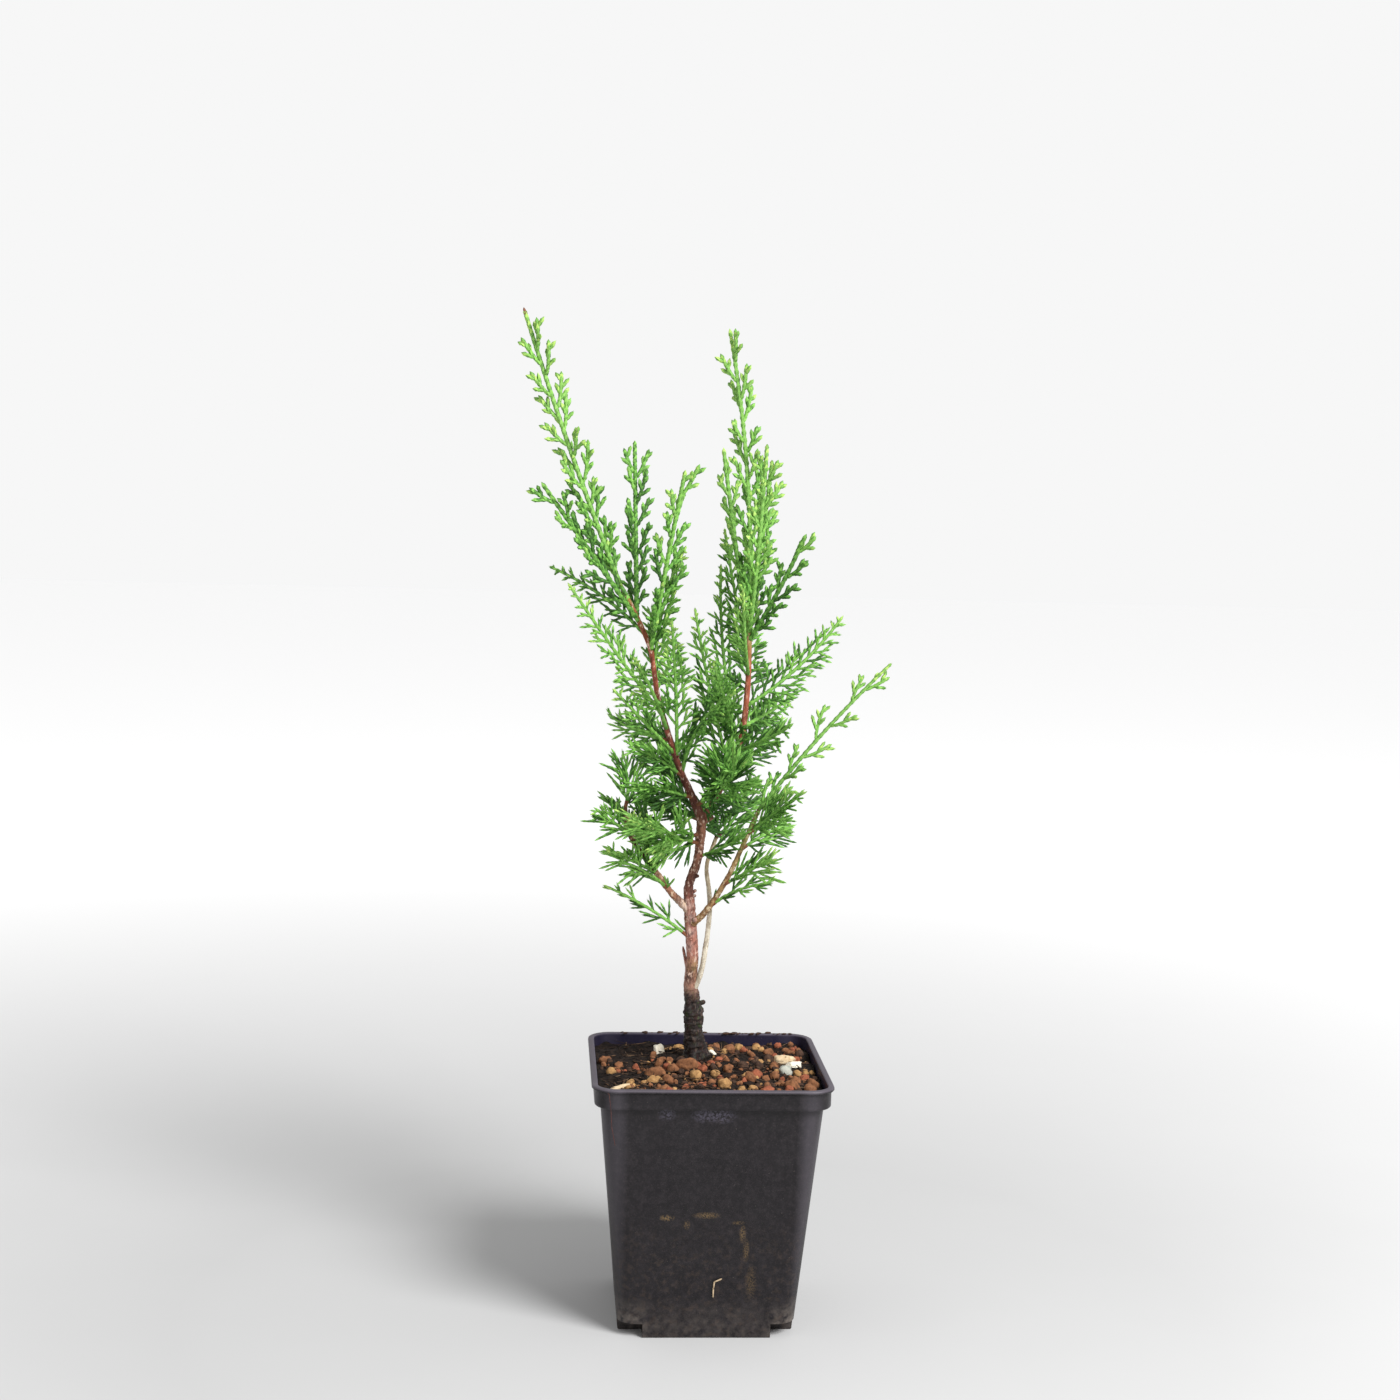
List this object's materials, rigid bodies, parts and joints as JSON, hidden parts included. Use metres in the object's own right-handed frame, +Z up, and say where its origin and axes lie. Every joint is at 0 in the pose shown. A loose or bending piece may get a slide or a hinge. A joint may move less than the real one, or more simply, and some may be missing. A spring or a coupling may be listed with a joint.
{
  "type": "young potted chinese juniper",
  "caption": "Young juniper with forked leaders and open feathery foliage, in a square tapered plastic nursery pot filled with gritty compost.",
  "frame": {"origin": "the middle of the pot's flat underside, which stands on the floor", "axes": "+Z up, along the trunk and the longest extent; -Y is the side of the pot that the picture shows; +X is that view's right"},
  "size_m": [0.1395, 0.09, 0.3797],
  "materials": {
    "pot_plastic": "dusty charcoal plastic with scuffs and pale lip edge",
    "compost": "dark fibrous compost with orange-brown clay granules",
    "bark": "flaky pinkish brown bark, black and rough near the soil",
    "pale_bark": "smooth cream to tan young bark",
    "whip_green": "bright green scale shoots with yellow-green tips",
    "frond_green": "mid to deep green needle-like shoots"
  },
  "bodies": {
    "root": {"pot": "pot_plastic", "soil": "compost", "trunk": "bark", "right_leader": "bark", "left_bough": "bark", "right_bough": "pale_bark", "pale_stem": "pale_bark", "foliage_left_tip": "whip_green", "foliage_right_tip": "whip_green", "foliage_right_bough_tip": "whip_green", "foliage_left_whip_low": "whip_green", "foliage_left_frond_high": "frond_green", "foliage_left_frond_long": "frond_green", "foliage_left_frond_back": "frond_green", "foliage_middle_whip_back": "whip_green", "foliage_middle_whip_front": "whip_green", "foliage_centre_frond_left": "frond_green", "foliage_centre_frond_mid": "frond_green", "foliage_centre_frond_back": "frond_green", "foliage_right_frond_back": "frond_green", "foliage_right_whip_front": "whip_green", "foliage_right_whip_left": "whip_green", "foliage_right_whip_back": "whip_green", "foliage_right_whip_side": "whip_green", "foliage_right_feather": "frond_green", "foliage_right_frond_low": "frond_green", "foliage_right_frond_near": "frond_green", "foliage_right_fan": "frond_green", "foliage_right_fan_back": "frond_green", "foliage_right_low": "frond_green", "foliage_left_bough_tip": "frond_green", "foliage_left_bough_front": "frond_green", "foliage_left_bough_back": "frond_green", "foliage_left_bough_under": "frond_green", "foliage_left_low": "frond_green", "foliage_left_middle": "frond_green", "foliage_front_left_low": "frond_green", "foliage_front_low": "frond_green", "foliage_front_middle": "frond_green", "foliage_front_left": "frond_green", "foliage_front_right": "frond_green", "foliage_front_high": "frond_green", "foliage_back_left": "frond_green", "foliage_back_middle": "frond_green", "foliage_back_right": "frond_green", "foliage_back_high": "frond_green", "foliage_back_top": "frond_green", "foliage_back_low": "frond_green", "foliage_heart_left": "frond_green", "foliage_heart_left_low": "frond_green", "foliage_heart_back": "frond_green", "foliage_heart_right": "frond_green", "foliage_heart_fork": "frond_green", "foliage_heart_cross": "frond_green", "foliage_middle_frond": "frond_green", "foliage_left_bough_heart": "frond_green", "foliage_left_bough_low": "frond_green", "foliage_right_bough_low": "frond_green", "foliage_heart_back_left": "frond_green", "foliage_heart_back_right": "frond_green"}
  },
  "joints": []
}
